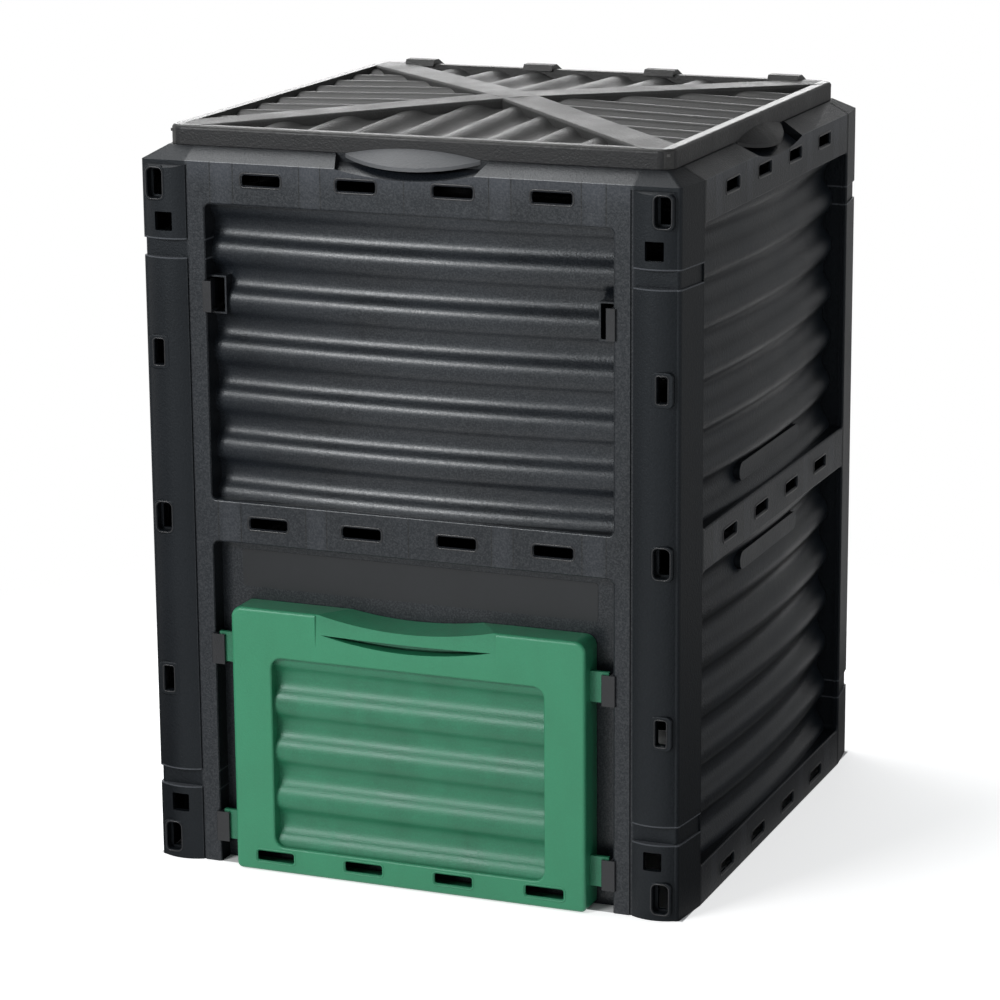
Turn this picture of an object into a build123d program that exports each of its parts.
from build123d import *
import os
from math import acos, atan2, cos, degrees, hypot, radians, sin, tan

# Compost bin: four moulded wall panels, a hinged lid and a lift-off door.
# Frame: millimetres, ground centre at the origin, front towards -Y, +Z up.

# Overall sizes
WIDTH = 610.0  # left face to right face
DEPTH = 610.0  # front face to back face
WALL_HEIGHT = 768.0  # ground to the foot of the top bevel
BEVEL_IN = 23.0  # run of the sloping shoulder under the lid
BEVEL_UP = 13.0  # rise of that shoulder
LEDGE = 22.0  # flat ledge inside the shoulder that carries the lid
WALL = 3.0  # moulded wall thickness
CORNER_R = 4.0  # outer corner of the walls

# Rails and corrugated windows
TOP_RAIL = 44.0
MID_RAIL = 46.0
BOTTOM_RAIL = 43.0
STILE = 18.0  # flat upright between a front window and its column
WINDOW_R = 6.0
WINDOW_LIP = 2.5  # rounding of a window's front edge
CREST_DEPTH = 16.0  # face of the rails to the crests of the waves
WAVE_SWING = 5.0  # half the height of a wave
WALL_WAVES = 6  # waves in each window
WAVE_BOW = 12.0  # how far the waves swell outwards in the middle of a window
WAVE_END = 60.0  # straight end of the waves, beside a window's upright edge
SLOT_LENGTH = 43.0
SLOT_HEIGHT = 11.0
SLOT_R = 2.5
SLOT_LIP = 1.0  # chamfer of a small opening's front edge
SLOT_PITCH = 107.5
SLOT_COUNT = 4
SLOT_EDGE = 17.0  # slot centre to the end of the wall

# Corner columns, moulded on the front and back panels
COLUMN = 60.0  # reach of a column along the front or back face
COLUMN_DEPTH = 52.0  # reach of a column along the side
COLUMN_SLANT = 6.5  # how far the column's side leans in towards the corner
PILLOW_BULGE = 6.0
PILLOW_MARGIN = 3.0  # seam groove beside the pillow
PILLOW_TOP_DROP = 4.0  # foot of the bevel down to the top of the pillow
PILLOW_TOP_SLOPE = 30.0  # degrees
SEAM_DEPTH = 1.8
PORT_INSET = 24.0  # column ports: side face to the port centre
PORT_EDGE = 24.0  # column ports: end of the wall to the first centre
PORT_COUNT = 5
PORT_CROWN = 6.5  # boss face in front of the rails, just proud of the pillow
PORT_EDGE_R = 1.5
PORT_BOSS = (24.0, 37.0, 6.0)  # width, height, corner radius
PORT_POCKET = (17.0, 31.0, 5.0)
PORT_POCKET_DEPTH = 10.0
PORT_HOLE = (11.0, 27.0, 1.5)
KEYHOLE = 20.0  # square hole
KEYHOLE_R = 1.5
KEYHOLE_INSET = 33.0
KEYHOLE_EDGE = 64.0
BAND_EDGE = 83.0  # end of the wall to the near side of a groove band
BAND_HEIGHT = 19.0
BAND_DEPTH = 1.8

# Tongue and snap joint between the side panels and the columns
SEAM_GAP = 0.4
FIT = 0.3  # clearance between panels
TONGUE = 43.0  # reach of a tongue behind its column
TONGUE_EDGE = 6.0
LUG_COUNT = 5
LUG_EDGE = 40.0  # end of the wall to the first lug centre
LUG_HEIGHT = 36.0
LUG_START = 17.0  # seam to the lug
BARB_START = 29.0  # seam to the barb
BARB = (6.0, 2.3, 20.0)  # along the tongue, proud of it, height
BARB_ROOM = 1.0

# Finger scoops in the shoulder
SCOOP_LENGTH = 154.0  # at the foot of the shoulder
SCOOP_FLARE = 0.31  # each end runs out by this much per mm up the slope
SCOOP_DROP = 4.2
SCOOP_DEPTH = 9.0

# Blank pads on the right and left panels
UPPER_PAD = (210.0, 20.0)
LOWER_PAD = (200.0, 20.0)
PAD_DEPTH = 20.5  # face of the rails to the pads, before the bow
PAD_BITE = 2.5  # how far a pad is let into its trough

# Lower front recess and its opening
FLOOR_DEPTH = 22.0
OPENING_SIDE = 57.0  # recess side to the opening
OPENING_SILL = 30.0
OPENING_HEAD = 106.0  # underside of the mid rail down to the opening
LABEL_SIZE = (405.0, 41.0, 0.4)
LABEL_DROP = 32.0  # underside of the mid rail to the label's centre
GLUE = 0.05

# Door
DOOR_SIDE_GAP = 25.5
DOOR_TOP_GAP = 66.0
DOOR_BOTTOM = 1.0
DOOR_PROUD = 14.0
DOOR_BACK_GAP = 1.0
DOOR_R = 12.0
DOOR_FOOT_R = 6.0  # at the two lower corners
DOOR_EDGE_R = 4.0
DOOR_WAVES = 4
DOOR_CREST = 6.0
DOOR_WINDOW_SIDE = 46.0
DOOR_WINDOW_TOP = 53.0
DOOR_WINDOW_BOTTOM = 29.0
DOOR_WINDOW_R = 12.0
DOOR_SLOT_PITCH = 103.5
DOOR_SLOT_EDGE = 17.0
GRIP_LENGTH = 206.0
GRIP_DIP = 12.0
GRIP_TILT = 9.0  # degrees, the dip fades towards the back
FINGER_LENGTH = 194.0
FINGER_DROP = 22.0
FINGER_SAG = (1.5, 6.0, 11.0)  # upper edge, inner step and lower edge of the finger slot
FINGER_DEPTH = (7.0, 18.0)  # above and below the step
GRIP_SET = 2.0  # the front leans in under the dip by this much
GRIP_FADE = 38.0  # height over which it does
TAB_HEIGHT = 33.0
TAB_THICK = 4.0
TAB_WALL_GAP = 5.0  # tab tip to the side of the recess
TAB_UPPER_DROP = 50.0  # door top to the upper tab's centre
TAB_LOWER = 44.0  # ground to the lower tab's centre

# Door hooks
HOOK_PLATE = 3.0
HOOK_LAP = 3.0  # on the stile
HOOK_OVERHANG = 12.0  # over the recess
PARK_OVERHANG = 7.0
HOOK_FLOOR = 2.4
HOOK_DEPTH = 15.0
HOOK_LEG = 3.0
HOOK_TOP_DROP = 2.5  # the tab shows above its hook
PEG = (5.0, 10.0)  # depth and height of the snap peg
PEG_REACH = 5.5
PARK_LIFT = 384.0  # upper hooks above the middle hooks
POCKET_REACH = 17.0  # pocket behind each upper hook
POCKET_ROOM = 4.0
POCKET_RIM = 1.8
POCKET_FRONT = 10.0  # face of the rails to the pocket's rim

# Lid
LID_INSET = 2.0  # shoulder's top edge to the skirt
LID_SKIRT = 20.0
LID_SEAT = 0.3
LID_R = 16.0
LID_EDGE_R = 4.0
RIM = 13.0
FACET_DROP = 7.0  # rim to the middle of the lid's waves
LID_SWING = 3.5
LID_WAVES = 11
CROWN = 8.0
BRACE_WIDTH = 46.0
BRACE_DEPTH = 13.0
BRACE_EDGE_R = 3.0
ARCH_LENGTH = 150.0
ARCH_RISE = 8.0
PULL_LENGTH = 153.0  # sloping finger pull under each arch
PULL_REACH = 20.5
PULL_DROP = 17.0

# Lid hinge
STRAP_PITCH = 149.0
STRAP_WIDTH = 36.0
STRAP_COUNT = 4
STRAP_LAP = 18.0  # on the lid
STRAP_THICK = 5.0
HINGE_DROP = 18.0  # lid top down to the hinge axis
STRAP_LEG = 12.0  # lid top down to the foot of the strap on the skirt
KNUCKLE_R = 8.0
EAR_THICK = 4.0
EAR_GAP = 0.5
EAR_DROP = 26.0
PIN_R = 4.0
PIN_CLEARANCE = 0.05
PIN_HEAD = (6.0, 2.0)  # radius and thickness
PIN_TAIL = 2.5

# Values worked out from the sizes above
MID = WALL_HEIGHT / 2
TOP = WALL_HEIGHT + BEVEL_UP
WAVE_MEAN = CREST_DEPTH + WAVE_SWING
TUB_DEPTH = CREST_DEPTH + 2 * WAVE_SWING + WALL
UPPER = (MID + MID_RAIL / 2, WALL_HEIGHT - TOP_RAIL)
LOWER = (BOTTOM_RAIL, MID - MID_RAIL / 2)
FRONT_WINDOW = WIDTH / 2 - COLUMN - STILE
SEAM = DEPTH / 2 - COLUMN_DEPTH
SIDE_END = SEAM - SEAM_GAP
SLANT_ANGLE = degrees(atan2(COLUMN_SLANT, COLUMN_DEPTH))
SIDE_WINDOW = SIDE_END - WALL
BANDS = (BAND_EDGE, WALL_HEIGHT - BAND_EDGE - BAND_HEIGHT)
LID_X = WIDTH / 2 - BEVEL_IN - LID_INSET
LID_Y = DEPTH / 2 - BEVEL_IN - LID_INSET
LID_BOTTOM = TOP + LID_SEAT
LID_TOP = LID_BOTTOM + LID_SKIRT
HINGE_Y = DEPTH / 2 + DOOR_PROUD - KNUCKLE_R
HINGE_Z = LID_TOP - HINGE_DROP
STRAP_X = [(i - (STRAP_COUNT - 1) / 2) * STRAP_PITCH for i in range(STRAP_COUNT)]
DOOR_HALF = FRONT_WINDOW - DOOR_SIDE_GAP
DOOR_TOP = LOWER[1] - DOOR_TOP_GAP
TAB_Z = (TAB_LOWER, DOOR_TOP - TAB_UPPER_DROP)
HOOK_Z = (TAB_Z[0], TAB_Z[1], TAB_Z[1] + PARK_LIFT)
FRONT = DEPTH / 2
SIDE = WIDTH / 2


def block(x0, x1, y0, y1, z0, z1):
    return Pos((x0 + x1) / 2, (y0 + y1) / 2, (z0 + z1) / 2) * Box(x1 - x0, y1 - y0, z1 - z0)


def on_face(h, x0, x1, v0, v1, z0, z1):
    """A block on a wall whose face lies h in front of the centre, v counted inwards."""
    return block(x0, x1, v0 - h, v1 - h, z0, z1)


def through_face(h, sketch, v0, v1):
    """A sketch drawn along and up the face, pushed from depth v0 to v1."""
    return Pos(0, v0 - h, 0) * extrude(Plane.XZ * sketch, v0 - v1)


def rounded(x0, x1, z0, z1, radius):
    return Pos((x0 + x1) / 2, (z0 + z1) / 2) * RectangleRounded(x1 - x0, z1 - z0, radius)


def centred(x, z, size):
    return Pos(x, z) * RectangleRounded(*size)


def spread(count, first, last):
    return [first + i * (last - first) / (count - 1) for i in range(count)]


def wave_line(mean, swing, start, half, count):
    """Tangent arcs that swing about the mean, first outwards, and run along the second axis."""
    arcs = []
    for i in range(count):
        near = start + i * half
        peak = mean - swing if i % 2 == 0 else mean + swing
        arcs.append(ThreePointArc((mean, near), (peak, near + half / 2), (mean, near + half)))
    return arcs


def wave_profile(mean, swing, low, high, waves):
    """Section of a corrugated sheet with a crest at both ends, a quarter wave over long."""
    half = (high - low) / (2 * waves)
    count = 2 * waves + 1
    start = low - half / 2
    end = start + count * half
    face = wave_line(mean, swing, start, half, count)
    back = wave_line(mean + WALL, swing, start, half, count)
    ends = [Line((mean, z), (mean + WALL, z)) for z in (start, end)]
    return make_face(face + back + ends)


def half_wave(span):
    """Crest to trough of a window's waves, measured up the wall."""
    return (span[1] - span[0]) / (2 * WALL_WAVES)


def wave_sheet(h, x0, x1, z0, z1, mean, swing, waves):
    """Straight corrugated sheet behind a window, let into the window's walls."""
    lap = WALL / 2
    profile = Pos(-h, 0) * wave_profile(mean, swing, z0, z1, waves)
    sheet = Pos(x0 - lap, 0, 0) * extrude(Plane.YZ * profile, x1 - x0 + 2 * lap)
    return sheet & on_face(h, x0 - lap, x1 + lap, -h, h, z0 - lap, z1 + lap)


def bowed_sheet(h, half, z0, z1, mean, swing, waves, bow):
    """Corrugated sheet that swells outwards in the middle of its window and runs straight at its ends."""
    lap = WALL / 2
    bend = half - WAVE_END
    turn = atan2(bow, bend / 2 + WAVE_END)
    centre = Axis((0, mean - h - bow + bend / sin(turn), 0), (0, 0, 1))
    trim = Pos(mean, (z0 + z1) / 2) * Rectangle(8 * swing, z1 - z0 + 2 * lap)
    profile = Plane.YZ * (Pos(-h - bow, 0) * (wave_profile(mean, swing, z0, z1, waves) & trim))
    sheet = revolve(profile, centre, 2 * degrees(turn)).rotate(centre, -degrees(turn))
    for side in (-1, 1):
        end = extrude(profile, 2 * WAVE_END, dir=(side, 0, 0))
        sheet += end.rotate(centre, side * degrees(turn))
    return sheet & on_face(h, -half - lap, half + lap, -h, h, z0 - 2 * lap, z1 + 2 * lap)


def tub(h, x0, x1, z0, z1, radius, v0, v1):
    """Walls of a recess, set just outside its window."""
    outer = rounded(x0 - WALL, x1 + WALL, z0 - WALL, z1 + WALL, radius + WALL)
    inner = rounded(x0, x1, z0, z1, radius)
    return through_face(h, outer - inner, v0, v1)


def lipped_window(h, x0, x1, z0, z1, radius, v0, v1):
    """Cutter for a window in a face at depth v0, with the window's front edge rounded over."""
    lip = WINDOW_LIP
    outer = rounded(x0 - 2 * lip, x1 + 2 * lip, z0 - 2 * lip, z1 + 2 * lip, radius + 2 * lip)
    shadow = through_face(h, outer, v0 - lip, v0)
    hole = through_face(h, rounded(x0, x1, z0, z1, radius), v0 - lip / 2, v1)
    cutter = shadow + hole
    shoulder = cutter.faces().filter_by(Axis.Y).sort_by(Axis.Y)[1]
    return fillet(shoulder.inner_wires()[0].edges(), lip)


def lipped_hole(h, x, z, size, v0, v1):
    """Cutter for a small opening in a face at depth v0, with a chamfered front edge."""
    lip = SLOT_LIP
    wide = centred(x, z, (size[0] + 4 * lip, size[1] + 4 * lip, size[2] + 2 * lip))
    outline = centred(x, z, size)
    ends = [Pos(0, v - h, 0) * (Plane.XZ * face) for v, face in ((v0 - lip, wide), (v0 + lip, outline))]
    return loft(ends, ruled=True) + through_face(h, outline, v0 + lip / 2, v1)


def corrugated_window(h, half, span):
    """Parts to add and to cut for one corrugated window of a wall."""
    add = [
        tub(h, -half, half, *span, WINDOW_R, WALL / 2, TUB_DEPTH),
        bowed_sheet(h, half, *span, WAVE_MEAN, WAVE_SWING, WALL_WAVES, WAVE_BOW),
    ]
    cut = lipped_window(h, -half, half, *span, WINDOW_R, 0, 2 * WALL)
    return add, cut


def rail_slots(h, z):
    """A row of vent slots in a rail."""
    row = [(i - (SLOT_COUNT - 1) / 2) * SLOT_PITCH for i in range(SLOT_COUNT)]
    return [lipped_hole(h, x, z, (SLOT_LENGTH, SLOT_HEIGHT, SLOT_R), 0, 2 * WALL) for x in row]


def plan(across, through, inset, radius):
    """Outline of the walls from above, set inwards, with sides that lean in at the columns."""
    x, y = across / 2 - inset, through / 2 - inset
    turn = radians(SLANT_ANGLE)
    shoulder = through / 2 - COLUMN_DEPTH - inset * tan(turn / 2)
    corner = x - (y - shoulder) * tan(turn)
    half = [(x, -shoulder), (x, shoulder), (corner, y), (-corner, y)]
    outline = Polygon(*half, *[(-px, -py) for px, py in half], align=None)
    corners = [point for point in outline.vertices() if abs(point.Y) > (shoulder + y) / 2]
    return fillet(corners, radius)


def frustum(across, through, radius, z0, z1, start, inset):
    """Walls' outline at one level, narrowed to the next level."""
    low = Pos(0, 0, z0) * plan(across, through, start, radius)
    high = Pos(0, 0, z1) * plan(across, through, start + inset, radius)
    return loft([low, high], ruled=True)


def blank(across, through):
    """Outer volume of the walls with their sloping shoulder."""
    body = extrude(plan(across, through, 0, CORNER_R), WALL_HEIGHT)
    return body + frustum(across, through, CORNER_R, WALL_HEIGHT, TOP, 0, BEVEL_IN)


def wall_ring(across, through):
    """All four walls as one shell, with shoulder and ledge, to be parted at the seams."""
    slope = BEVEL_UP / BEVEL_IN
    sink = WALL * hypot(BEVEL_IN, BEVEL_UP) / BEVEL_IN
    foot = WALL_HEIGHT - sink + slope * WALL
    run = (TOP - WALL - foot) / slope
    hollow = extrude(plan(across, through, WALL, CORNER_R), foot)
    hollow += frustum(across, through, CORNER_R, foot, TOP - WALL, WALL, run)
    mouth_inset = 2 * (BEVEL_IN + LEDGE)
    mouth = extrude(RectangleRounded(across - mouth_inset, through - mouth_inset, CORNER_R), TOP + 1)
    return blank(across, through) - hollow - mouth


def scoop(h, across, through):
    """Finger scoop in the shoulder: its tray and the room cut for the fingers."""
    length = hypot(BEVEL_IN, BEVEL_UP)
    outward = Vector(0, -BEVEL_UP, BEVEL_IN) / length
    seat = Plane(origin=(0, -h, WALL_HEIGHT), x_dir=(1, 0, 0), z_dir=outward)
    skirt = BEVEL_IN + LID_INSET

    def bowl(grow):
        half, top = SCOOP_LENGTH / 2 + grow, 2 * length
        wide = half + SCOOP_FLARE * top
        rim = ThreePointArc((-half, 0), (0, -SCOOP_DROP - grow), (half, 0))
        ends = Polyline((half, 0), (wide, top), (-wide, top), (-half, 0))
        depth = SCOOP_DEPTH + grow
        drum = Pos(0, 0, -depth) * extrude(make_face([rim, ends]), depth + length)
        return (seat * drum) & on_face(h, -across, across, -h, skirt + grow, 0, 2 * TOP)

    return bowl(WALL) & blank(across, through), bowl(0)


def pillow(side):
    """Convex skin of one column and the hollow behind it, on the side of the given sign."""
    x0 = SIDE - COLUMN + PILLOW_MARGIN
    x1 = SIDE - COLUMN_SLANT - CORNER_R
    top = WALL_HEIGHT - PILLOW_TOP_DROP

    def segment(start, end, level, back):
        arc = ThreePointArc(
            (side * start, level - FRONT),
            (side * (start + end) / 2, level - FRONT - PILLOW_BULGE),
            (side * end, level - FRONT),
        )
        base = Polyline(
            (side * end, level - FRONT),
            (side * end, back - FRONT),
            (side * start, back - FRONT),
            (side * start, level - FRONT),
        )
        return make_face([arc, *base.edges()])

    skin = extrude(segment(x0, x1, 0, WALL / 2), top)
    slope = Pos(0, -FRONT, top) * Rot(PILLOW_TOP_SLOPE, 0, 0)
    skin -= slope * block(-WIDTH, WIDTH, -WALL * 9, WALL * 9, 0, WALL * 9)
    room = extrude(segment(x0 + WALL, x1 - WALL, WALL, 2 * WALL), top - 3 * WALL)
    return skin, room


def column_corner(side):
    """Space that one column takes up, seen from above."""
    near = SIDE - COLUMN + PILLOW_MARGIN
    x0, x1 = sorted((side * near, side * SIDE * 2))
    return block(x0, x1, -DEPTH, -SEAM, 0, WALL_HEIGHT)


def band_ring(z0, z1, outset, inset):
    """Ring that follows the walls from above, between an outset and an inset."""
    ring = plan(WIDTH, DEPTH, -outset, CORNER_R) - plan(WIDTH, DEPTH, inset, CORNER_R)
    return Pos(0, 0, z0) * extrude(ring, z1 - z0)


def column_ports(side):
    """Bosses, pockets and holes up the front of one column."""
    x = side * (SIDE - PORT_INSET)
    crown = -PORT_CROWN
    bosses, cuts = [], []
    for i, z in enumerate(spread(PORT_COUNT, PORT_EDGE, WALL_HEIGHT - PORT_EDGE)):
        pocketed = i % 2 == 0
        back = crown + PORT_POCKET_DEPTH + WALL if pocketed else WALL
        boss = through_face(FRONT, centred(x, z, PORT_BOSS), crown, back)
        bosses.append(fillet(boss.faces().sort_by(Axis.Y)[0].edges(), PORT_EDGE_R))
        if pocketed:
            cuts.append(lipped_hole(FRONT, x, z, PORT_POCKET, crown, crown + PORT_POCKET_DEPTH))
            cuts.append(through_face(FRONT, centred(x, z, PORT_HOLE), crown, back + WALL))
        else:
            cuts.append(lipped_hole(FRONT, x, z, PORT_HOLE, crown, back + WALL))
    key_x = side * (SIDE - KEYHOLE_INSET)
    for z in (KEYHOLE_EDGE, WALL_HEIGHT - KEYHOLE_EDGE):
        hole = centred(key_x, z, (KEYHOLE, KEYHOLE, KEYHOLE_R))
        cuts.append(through_face(FRONT, hole, -3 * WALL, 2 * WALL))
    return bosses, cuts


def lean(end, side):
    """Turns what lies beyond a side panel's end so that it follows the column's leaning side."""
    return Pos(side * end, -SIDE, 0) * Rot(0, 0, side * SLANT_ANGLE) * Pos(-side * end, SIDE, 0)


def lug_heights():
    return spread(LUG_COUNT, LUG_EDGE, WALL_HEIGHT - LUG_EDGE)


def column_lugs(side):
    """Inner lugs that trap a side panel's tongue, with windows for its barbs."""
    turn = Rot(0, 0, 90 * side) * lean(SEAM, -side)
    v0 = 2 * WALL + 2 * FIT
    lugs, windows = [], []
    for z in lug_heights():
        low, high = z - LUG_HEIGHT / 2, z + LUG_HEIGHT / 2
        ends = (SIDE_END + LUG_START, DEPTH / 2 - WALL / 2)
        x0, x1 = sorted(-side * end for end in ends)
        lugs.append(turn * on_face(SIDE, x0, x1, v0, v0 + WALL, low, high))
        start = SIDE_END + BARB_START - BARB_ROOM
        ends = (start, start + BARB[0] + 2 * BARB_ROOM)
        x0, x1 = sorted(-side * end for end in ends)
        reach = BARB[2] / 2 + BARB_ROOM
        windows.append(turn * on_face(SIDE, x0, x1, v0 - FIT, v0 + 2 * WALL, z - reach, z + reach))
    return lugs, windows


def column_panel():
    """What the front and back panels share: columns, rails and the upper window."""
    slab = block(-WIDTH, WIDTH, -DEPTH, -SEAM, 0, 2 * TOP)
    add, window = corrugated_window(FRONT, FRONT_WINDOW, UPPER)
    cut = rail_slots(FRONT, MID) + rail_slots(FRONT, WALL_HEIGHT - SLOT_EDGE)
    for side in (-1, 1):
        skin, room = pillow(side)
        bosses, holes = column_ports(side)
        lugs, windows = column_lugs(side)
        corner = column_corner(side)
        backing, grooves = [], []
        for z in BANDS:
            backing.append(band_ring(z - WALL, z + BAND_HEIGHT + WALL, 0, 2 * WALL) & corner)
            grooves.append(band_ring(z, z + BAND_HEIGHT, COLUMN, BAND_DEPTH) & corner)
        ends = sorted((side * (SIDE - COLUMN), side * (SIDE - COLUMN + PILLOW_MARGIN)))
        groove = on_face(FRONT, *ends, -WALL, SEAM_DEPTH, -1, WALL_HEIGHT - PILLOW_TOP_DROP)
        add += [skin, *bosses, *lugs, *backing]
        cut += [groove, *grooves, *holes, *windows]
        window = [window, room] if side < 0 else [*window, room]
    panel = (wall_ring(WIDTH, DEPTH) & slab) - window
    return panel + add, cut


def peg_hole(side, z):
    """Hole in the side of the recess for a hook's snap peg."""
    v = HOOK_DEPTH / 2
    depth, height = PEG[0] / 2 + FIT, PEG[1] / 2 + FIT
    x0, x1 = sorted((side * (FRONT_WINDOW - WALL), side * (FRONT_WINDOW + 2 * WALL)))
    return on_face(FRONT, x0, x1, v - depth, v + depth, z - height, z + height)


def park_pocket(side):
    """Boxed window in the waves behind an upper hook, where a door tab goes."""
    ends = sorted((side * FRONT_WINDOW, side * (FRONT_WINDOW - POCKET_REACH)))
    low = HOOK_Z[2] - TAB_HEIGHT / 2 - POCKET_ROOM
    high = HOOK_Z[2] + TAB_HEIGHT / 2
    rim = POCKET_RIM
    frame = on_face(FRONT, ends[0] - rim, ends[1] + rim, POCKET_FRONT, TUB_DEPTH, low - rim, high + rim)
    return frame, on_face(FRONT, *ends, WALL, TUB_DEPTH + WALL, low, high)


def make_front_panel():
    panel, cut = column_panel()
    top = LOWER[1]
    add = [
        tub(FRONT, -FRONT_WINDOW, FRONT_WINDOW, -top, top, WINDOW_R, WALL / 2, FLOOR_DEPTH + WALL),
        on_face(
            FRONT, -FRONT_WINDOW - WALL, FRONT_WINDOW + WALL, FLOOR_DEPTH, FLOOR_DEPTH + WALL, 0, top + WALL
        ),
    ]
    window = lipped_window(FRONT, -FRONT_WINDOW, FRONT_WINDOW, -top, top, WINDOW_R, 0, 2 * WALL)
    half = FRONT_WINDOW - OPENING_SIDE
    opening = rounded(-half, half, OPENING_SILL, top - OPENING_HEAD, WINDOW_R)
    cut.append(through_face(FRONT, opening, WALL, 2 * FLOOR_DEPTH))
    tray, room = scoop(FRONT, WIDTH, DEPTH)
    for side in (-1, 1):
        frame, pocket = park_pocket(side)
        add.append(frame)
        cut.append(pocket)
        cut += [peg_hole(side, z) for z in HOOK_Z]
    panel = panel - window + [*add, tray] - [*cut, room]
    return panel & block(-WIDTH, WIDTH, -DEPTH, DEPTH, 0, 2 * TOP)


def ear_profile():
    """Side view of a hinge ear, in the frame of a wall face that looks towards -Y."""
    y = -HINGE_Y
    root = WALL / 2 - FRONT
    base = WALL_HEIGHT - EAR_DROP
    plate = Polygon(
        (root, WALL_HEIGHT),
        (y + KNUCKLE_R, WALL_HEIGHT),
        (y + KNUCKLE_R, HINGE_Z),
        (y - KNUCKLE_R, HINGE_Z),
        (y - KNUCKLE_R, base + KNUCKLE_R * 2),
        (root, base),
        align=None,
    )
    return plate + Pos(y, HINGE_Z) * Circle(KNUCKLE_R) - Pos(y, HINGE_Z) * Circle(PIN_R + PIN_CLEARANCE)


def make_back_panel():
    panel, cut = column_panel()
    add, window = corrugated_window(FRONT, FRONT_WINDOW, LOWER)
    cut += rail_slots(FRONT, SLOT_EDGE)
    for x in STRAP_X:
        for side in (-1, 1):
            near = STRAP_WIDTH / 2 + EAR_GAP
            x0 = min(x + side * near, x + side * (near + EAR_THICK))
            add.append(Pos(x0, 0, 0) * extrude(Plane.YZ * ear_profile(), EAR_THICK))
    panel = panel - window + add - cut
    return Rot(0, 0, 180) * panel


def make_side_panel(turn):
    """A panel between two columns, with a tongue at each end."""
    slab = block(-SIDE_END, SIDE_END, -WIDTH, 0, 0, 2 * TOP)
    panel = wall_ring(DEPTH, WIDTH) & slab
    add, cut, windows = [], [], []
    for span in (LOWER, UPPER):
        parts, window = corrugated_window(SIDE, SIDE_WINDOW, span)
        add += parts
        windows.append(window)
    for z in (SLOT_EDGE, MID, WALL_HEIGHT - SLOT_EDGE):
        cut += rail_slots(SIDE, z)
    v0 = WALL + FIT
    barb_v = (v0 + WALL / 2, v0 + WALL + BARB[1])
    for side in (-1, 1):
        rib = sorted((side * SIDE_END, side * SIDE_WINDOW))
        add.append(on_face(SIDE, *rib, WALL / 2, TUB_DEPTH, 0, WALL_HEIGHT - WALL))
        root = sorted((side * (SIDE_WINDOW - WALL / 2), side * SIDE_END))
        add.append(on_face(SIDE, *root, v0, v0 + WALL, TONGUE_EDGE, WALL_HEIGHT - TONGUE_EDGE))
        tip = sorted((side * SIDE_END, side * (SIDE_END + TONGUE)))
        tongue = on_face(SIDE, *tip, v0, v0 + WALL, TONGUE_EDGE, WALL_HEIGHT - TONGUE_EDGE)
        free = sorted((side * (SIDE_END + FIT), side * (SIDE_END + 2 * TONGUE)))
        for z in BANDS:
            low, high = z - WALL - FIT, z + BAND_HEIGHT + WALL + FIT
            tongue -= on_face(SIDE, *free, 0, 4 * WALL, low, high)
        barb = sorted(side * (SIDE_END + BARB_START + step) for step in (0, BARB[0]))
        barbs = [on_face(SIDE, *barb, *barb_v, z - BARB[2] / 2, z + BARB[2] / 2) for z in lug_heights()]
        add.append(lean(SIDE_END, side) * (tongue + barbs))
    for size, z in ((UPPER_PAD, UPPER[0] + half_wave(UPPER)), (LOWER_PAD, LOWER[1] - half_wave(LOWER))):
        pad = Pos(0, z) * SlotOverall(*size)
        trough = WAVE_MEAN + WAVE_SWING - WAVE_BOW
        add.append(through_face(SIDE, pad, PAD_DEPTH - WAVE_BOW, trough + PAD_BITE))
    tray, room = scoop(SIDE, DEPTH, WIDTH)
    slab_only = block(-SIDE_END - 2 * TONGUE, SIDE_END + 2 * TONGUE, -WIDTH, 0, 0, 2 * TOP)
    panel = panel - windows + [*add, tray] - [*cut, room]
    return Rot(0, 0, turn) * (panel & slab_only)


def lid_facet(across, through):
    """One triangular corrugated quarter of the lid, its ridges running front to back."""
    mean = LID_TOP - FACET_DROP
    edge = through - RIM
    profile = Rot(0, 0, -90) * wave_profile(-mean, LID_SWING, -across, across, LID_WAVES)
    sheet = Pos(0, -through, 0) * extrude(Plane.XZ * profile, -through)
    lift = Pos(0, -edge, mean) * Rot(degrees(atan2(CROWN, edge)), 0, 0) * Pos(0, edge, -mean)
    ends = [(-across + WALL, -through + WALL), (across - WALL, -through + WALL), (0, 0)]
    wedge = Pos(0, 0, LID_BOTTOM) * extrude(Polygon(*ends, align=None), 2 * LID_SKIRT)
    return (lift * sheet) & wedge


def lid_brace(side):
    """One brace from corner to corner, rising to the crown in the middle."""
    reach = hypot(LID_X, LID_Y) - LID_R
    low = LID_TOP - BRACE_DEPTH
    outline = Polygon(
        (-reach, low),
        (0, low + CROWN),
        (reach, low),
        (reach, LID_TOP),
        (0, LID_TOP + CROWN),
        (-reach, LID_TOP),
        align=None,
    )
    bar = extrude(Plane.XZ * outline, BRACE_WIDTH / 2, both=True)
    top_edges = [edge for edge in bar.edges() if edge.length > reach / 2 and edge.center().Z > LID_TOP]
    bar = fillet(top_edges, BRACE_EDGE_R)
    return Rot(0, 0, side * degrees(atan2(LID_Y, LID_X))) * bar


def lid_arch(h):
    """Cylinder that lifts the skirt's lower edge over a finger scoop."""
    half = ARCH_LENGTH / 2
    radius = (half**2 + ARCH_RISE**2) / (2 * ARCH_RISE)
    disc = Pos(0, LID_BOTTOM + ARCH_RISE - radius) * Circle(radius)
    lens = through_face(h, disc, -WALL, 2 * WALL)
    return lens & on_face(h, -half, half, -WALL, 2 * WALL, LID_BOTTOM - WALL, LID_TOP)


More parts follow.
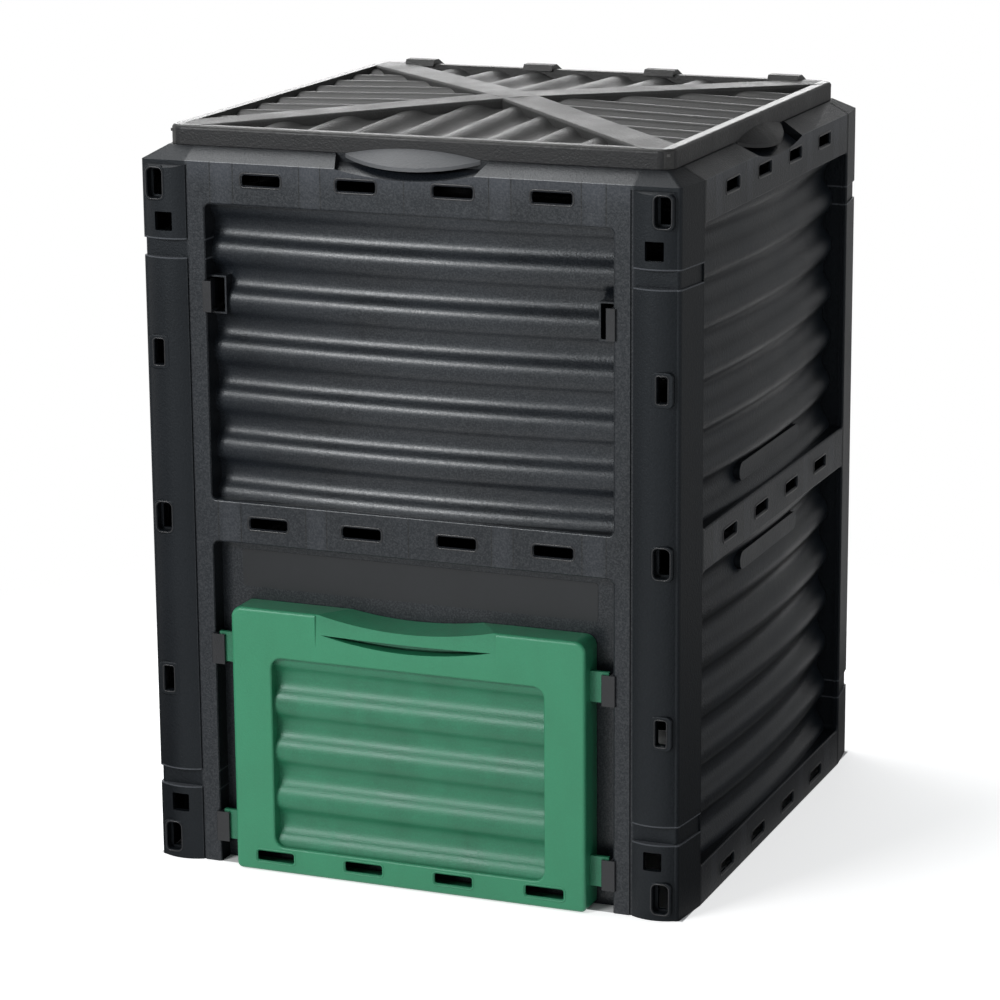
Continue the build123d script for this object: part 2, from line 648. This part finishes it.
def lid_pull(h):
    """Sloping crescent that hangs from the arch in front of a skirt h from the centre."""
    half, rise = ARCH_LENGTH / 2, LID_BOTTOM + ARCH_RISE
    radius = (half**2 + ARCH_RISE**2) / (2 * ARCH_RISE)
    slope = hypot(PULL_REACH, PULL_DROP)
    thick = WALL * slope / PULL_REACH
    shell = Pos(0, rise - radius) * Circle(radius) - Pos(0, rise - radius - thick) * Circle(radius)
    start = WALL / PULL_REACH
    place = Pos(0, start * PULL_REACH - h, start * PULL_DROP)
    plate = extrude(place * (Plane.XZ * shell), 2 * slope, dir=(0, -PULL_REACH / slope, -PULL_DROP / slope))
    reach = ((PULL_LENGTH / 2) ** 2 + PULL_REACH**2) / (2 * PULL_REACH)
    drum = Pos(0, reach - h - PULL_REACH, TOP - BEVEL_UP) * extrude(Circle(reach), 3 * BEVEL_UP)
    near = block(-half, half, -2 * h, WALL - h, TOP - BEVEL_UP, 2 * TOP)
    below = block(-half, half, -h - FIT, 0, 0, LID_BOTTOM)
    return (plate & drum & near) - below


def tangent(point, radius, side):
    """Where a line from a point in the hinge's side view touches a circle round the hinge axis."""
    dy, dz = point[0] - HINGE_Y, point[1] - HINGE_Z
    angle = atan2(dz, dy) + side * acos(radius / hypot(dy, dz))
    return HINGE_Y + radius * cos(angle), HINGE_Z + radius * sin(angle)


def strap_profile():
    """Side view of a hinge strap: an arm over the rim that comes down to a knuckle round the pin."""
    y0 = LID_Y - STRAP_LAP
    crest = (LID_Y, LID_TOP + STRAP_THICK)
    foot = (LID_Y - WALL / 2, LID_TOP - STRAP_LEG)
    arm = Polygon(
        foot,
        tangent(foot, KNUCKLE_R, 1),
        tangent(crest, KNUCKLE_R, -1),
        crest,
        (y0 + STRAP_THICK, LID_TOP + STRAP_THICK),
        (y0, LID_TOP - WALL / 2),
        (LID_Y - WALL / 2, LID_TOP - WALL / 2),
        align=None,
    )
    round_end = Pos(HINGE_Y, HINGE_Z) * Circle(KNUCKLE_R)
    return arm + round_end - Pos(HINGE_Y, HINGE_Z) * Circle(PIN_R + PIN_CLEARANCE)


def make_lid():
    cap = Pos(0, 0, LID_BOTTOM) * extrude(RectangleRounded(2 * LID_X, 2 * LID_Y, LID_R), LID_SKIRT)
    cap = fillet(cap.faces().sort_by(Axis.Z)[-1].edges(), LID_EDGE_R)
    inner = RectangleRounded(2 * (LID_X - WALL), 2 * (LID_Y - WALL), LID_R - WALL)
    opening = RectangleRounded(2 * (LID_X - RIM), 2 * (LID_Y - RIM), LID_R - WALL)
    cap -= Pos(0, 0, LID_BOTTOM) * extrude(inner, LID_SKIRT - WALL)
    cap -= Pos(0, 0, LID_BOTTOM) * extrude(opening, 2 * LID_SKIRT)
    lining = RectangleRounded(2 * (LID_X - RIM + WALL), 2 * (LID_Y - RIM + WALL), LID_R - WALL) - opening
    low = LID_TOP - FACET_DROP - LID_SWING - WALL
    add = [Pos(0, 0, low) * extrude(lining, LID_TOP - WALL / 2 - low)]
    ends = lid_facet(LID_X, LID_Y)
    flanks = lid_facet(LID_Y, LID_X)
    add += [Rot(0, 0, turn) * ends for turn in (0, 180)]
    add += [Rot(0, 0, turn) * flanks for turn in (90, -90)]
    bound = extrude(RectangleRounded(2 * (LID_X - WALL), 2 * (LID_Y - WALL), LID_R), 2 * TOP)
    add += [lid_brace(side) & bound for side in (-1, 1)]
    for x in STRAP_X:
        add.append(Pos(x, 0, 0) * extrude(Plane.YZ * strap_profile(), STRAP_WIDTH / 2, both=True))
    grips = [(0, LID_Y), (90, LID_X), (-90, LID_X)]
    arches = [Rot(0, 0, turn) * lid_arch(h) for turn, h in grips]
    pulls = [Rot(0, 0, turn) * lid_pull(h) for turn, h in grips]
    return cap + add - arches + pulls


def make_hinge_pin(x):
    reach = STRAP_WIDTH / 2 + EAR_GAP + EAR_THICK
    shank = Pos(-reach, 0, 0) * extrude(Plane.YZ * Circle(PIN_R), 2 * reach + PIN_TAIL)
    shank = chamfer(shank.faces().sort_by(Axis.X)[-1].edges(), PIN_R / 4)
    head = Pos(-reach - PIN_HEAD[1], 0, 0) * extrude(Plane.YZ * Circle(PIN_HEAD[0]), PIN_HEAD[1])
    return Pos(x, HINGE_Y, HINGE_Z) * (head + shank)


def door_dip(radius_drop):
    """Shallow trough along the door's top edge, for the palm."""
    half = GRIP_LENGTH / 2
    radius = (half**2 + GRIP_DIP**2) / (2 * GRIP_DIP)
    drum = extrude(Plane.XZ * Circle(radius + radius_drop), FRONT, both=True)
    place = Pos(0, -FRONT - DOOR_PROUD, DOOR_TOP - GRIP_DIP) * Rot(GRIP_TILT, 0, 0)
    return place * Pos(0, 0, radius) * drum


def make_door():
    back = FLOOR_DEPTH - DOOR_BACK_GAP
    front = -DOOR_PROUD

    def outline(inset):
        half, foot, top = DOOR_HALF - inset, DOOR_BOTTOM + inset, DOOR_TOP - inset
        lower = rounded(-half, half, foot, (foot + top) / 2, DOOR_FOOT_R - inset)
        return rounded(-half, half, foot, top, DOOR_R - inset) + lower

    body = through_face(FRONT, outline(0), front, back)
    body = fillet(body.faces().sort_by(Axis.Y)[0].edges(), DOOR_EDGE_R)
    hollow = through_face(FRONT, outline(WALL), front + WALL, back + WALL) - door_dip(WALL)
    half = DOOR_HALF - DOOR_WINDOW_SIDE
    span = (DOOR_BOTTOM + DOOR_WINDOW_BOTTOM, DOOR_TOP - DOOR_WINDOW_TOP)
    mean = front + DOOR_CREST + WAVE_SWING
    window = lipped_window(FRONT, -half, half, *span, DOOR_WINDOW_R, front, front + 2 * WALL)
    body = body - door_dip(0) - hollow - window
    add = [
        tub(FRONT, -half, half, *span, DOOR_WINDOW_R, front + WALL / 2, mean + WAVE_SWING + WALL),
        wave_sheet(FRONT, -half, half, *span, mean, WAVE_SWING, DOOR_WAVES),
    ]
    tip = FRONT_WINDOW - TAB_WALL_GAP
    for side in (-1, 1):
        x0, x1 = sorted((side * (DOOR_HALF - WALL / 2), side * tip))
        for z in TAB_Z:
            low, high = z - TAB_HEIGHT / 2, z + TAB_HEIGHT / 2
            add.append(on_face(FRONT, x0, x1, 2 * FIT, 2 * FIT + TAB_THICK, low, high))
    level = DOOR_TOP - FINGER_DROP

    def crescent(high, low, grow):
        reach = FINGER_LENGTH / 2 + grow
        sags = (high - grow, low + grow)
        return make_face([ThreePointArc((-reach, level), (0, level - sag), (reach, level)) for sag in sags])

    upper, step, lower = FINGER_SAG
    shell = crescent(upper, lower, WALL)
    add.append(through_face(FRONT, shell, front + WALL / 2, front + FINGER_DEPTH[1] + WALL))
    cut = [
        through_face(FRONT, crescent(upper, lower, 0), front - WALL, front + FINGER_DEPTH[0]),
        through_face(FRONT, crescent(step, lower, 0), front - WALL, front + FINGER_DEPTH[1]),
    ]
    lean_in = Pos(0, front - FRONT, DOOR_TOP - GRIP_FADE) * Rot(-degrees(atan2(GRIP_SET, GRIP_FADE)), 0, 0)
    cut.append(lean_in * block(-GRIP_LENGTH / 2, GRIP_LENGTH / 2, -DOOR_PROUD, 0, 0, 2 * GRIP_FADE))
    for i in range(SLOT_COUNT):
        x = (i - (SLOT_COUNT - 1) / 2) * DOOR_SLOT_PITCH
        size = (SLOT_LENGTH, SLOT_HEIGHT, SLOT_R)
        cut.append(lipped_hole(FRONT, x, DOOR_BOTTOM + DOOR_SLOT_EDGE, size, front, front + 2 * WALL))
    return body + add - cut


def make_hook(side, z, overhang):
    """J-shaped clip on the edge of the recess: a door tab drops in behind its plate."""
    tab_low, tab_high = z - TAB_HEIGHT / 2, z + TAB_HEIGHT / 2
    low, high = tab_low - FIT - HOOK_FLOOR, tab_high - HOOK_TOP_DROP
    wall = FRONT_WINDOW - FIT / 3
    tip = FRONT_WINDOW - overhang
    seat = -FIT / 3
    plate = on_face(FRONT, tip, FRONT_WINDOW + HOOK_LAP, seat - HOOK_PLATE, seat, low, high)
    leg = on_face(FRONT, wall - HOOK_LEG, wall, seat - HOOK_PLATE / 2, HOOK_DEPTH, low, high)
    floor = on_face(FRONT, tip, wall, seat - HOOK_PLATE / 2, HOOK_DEPTH, low, low + HOOK_FLOOR)
    v = HOOK_DEPTH / 2
    thick, tall = PEG
    ends = (wall - HOOK_LEG / 2, wall + PEG_REACH)
    peg = on_face(FRONT, *ends, v - thick / 2, v + thick / 2, z - tall / 2, z + tall / 2)
    hook = plate + [leg, floor, peg]
    edge = hook.edges().filter_by(Axis.Z).group_by(Axis.Y)[0]
    hook = fillet(edge, HOOK_PLATE / 4)
    return hook if side > 0 else mirror(hook, about=Plane.YZ)


def make_label():
    z = LOWER[1] - LABEL_DROP
    field = centred(0, z, (LABEL_SIZE[0], LABEL_SIZE[1], WINDOW_R / 2))
    return through_face(FRONT, field, FLOOR_DEPTH - GLUE - LABEL_SIZE[2], FLOOR_DEPTH - GLUE)


nodes = {
    "front_panel": make_front_panel(),
    "back_panel": make_back_panel(),
    "right_panel": make_side_panel(90),
    "left_panel": make_side_panel(-90),
    "lid": make_lid(),
    "door": make_door(),
    "blank_label": make_label(),
}
for level, z, overhang in zip(
    ("lower", "middle", "upper"), HOOK_Z, (HOOK_OVERHANG, HOOK_OVERHANG, PARK_OVERHANG)
):
    for name, side in (("left", -1), ("right", 1)):
        nodes[f"{level}_{name}_door_hook"] = make_hook(side, z, overhang)
for number, x in enumerate(STRAP_X, 1):
    nodes[f"lid_hinge_pin_{number}"] = make_hinge_pin(x)

os.makedirs("parts", exist_ok=True)
for name, shape in nodes.items():
    export_step(shape, f"parts/{name}.step")
    print(name, "solids", len(shape.solids()), "volume", round(shape.volume))
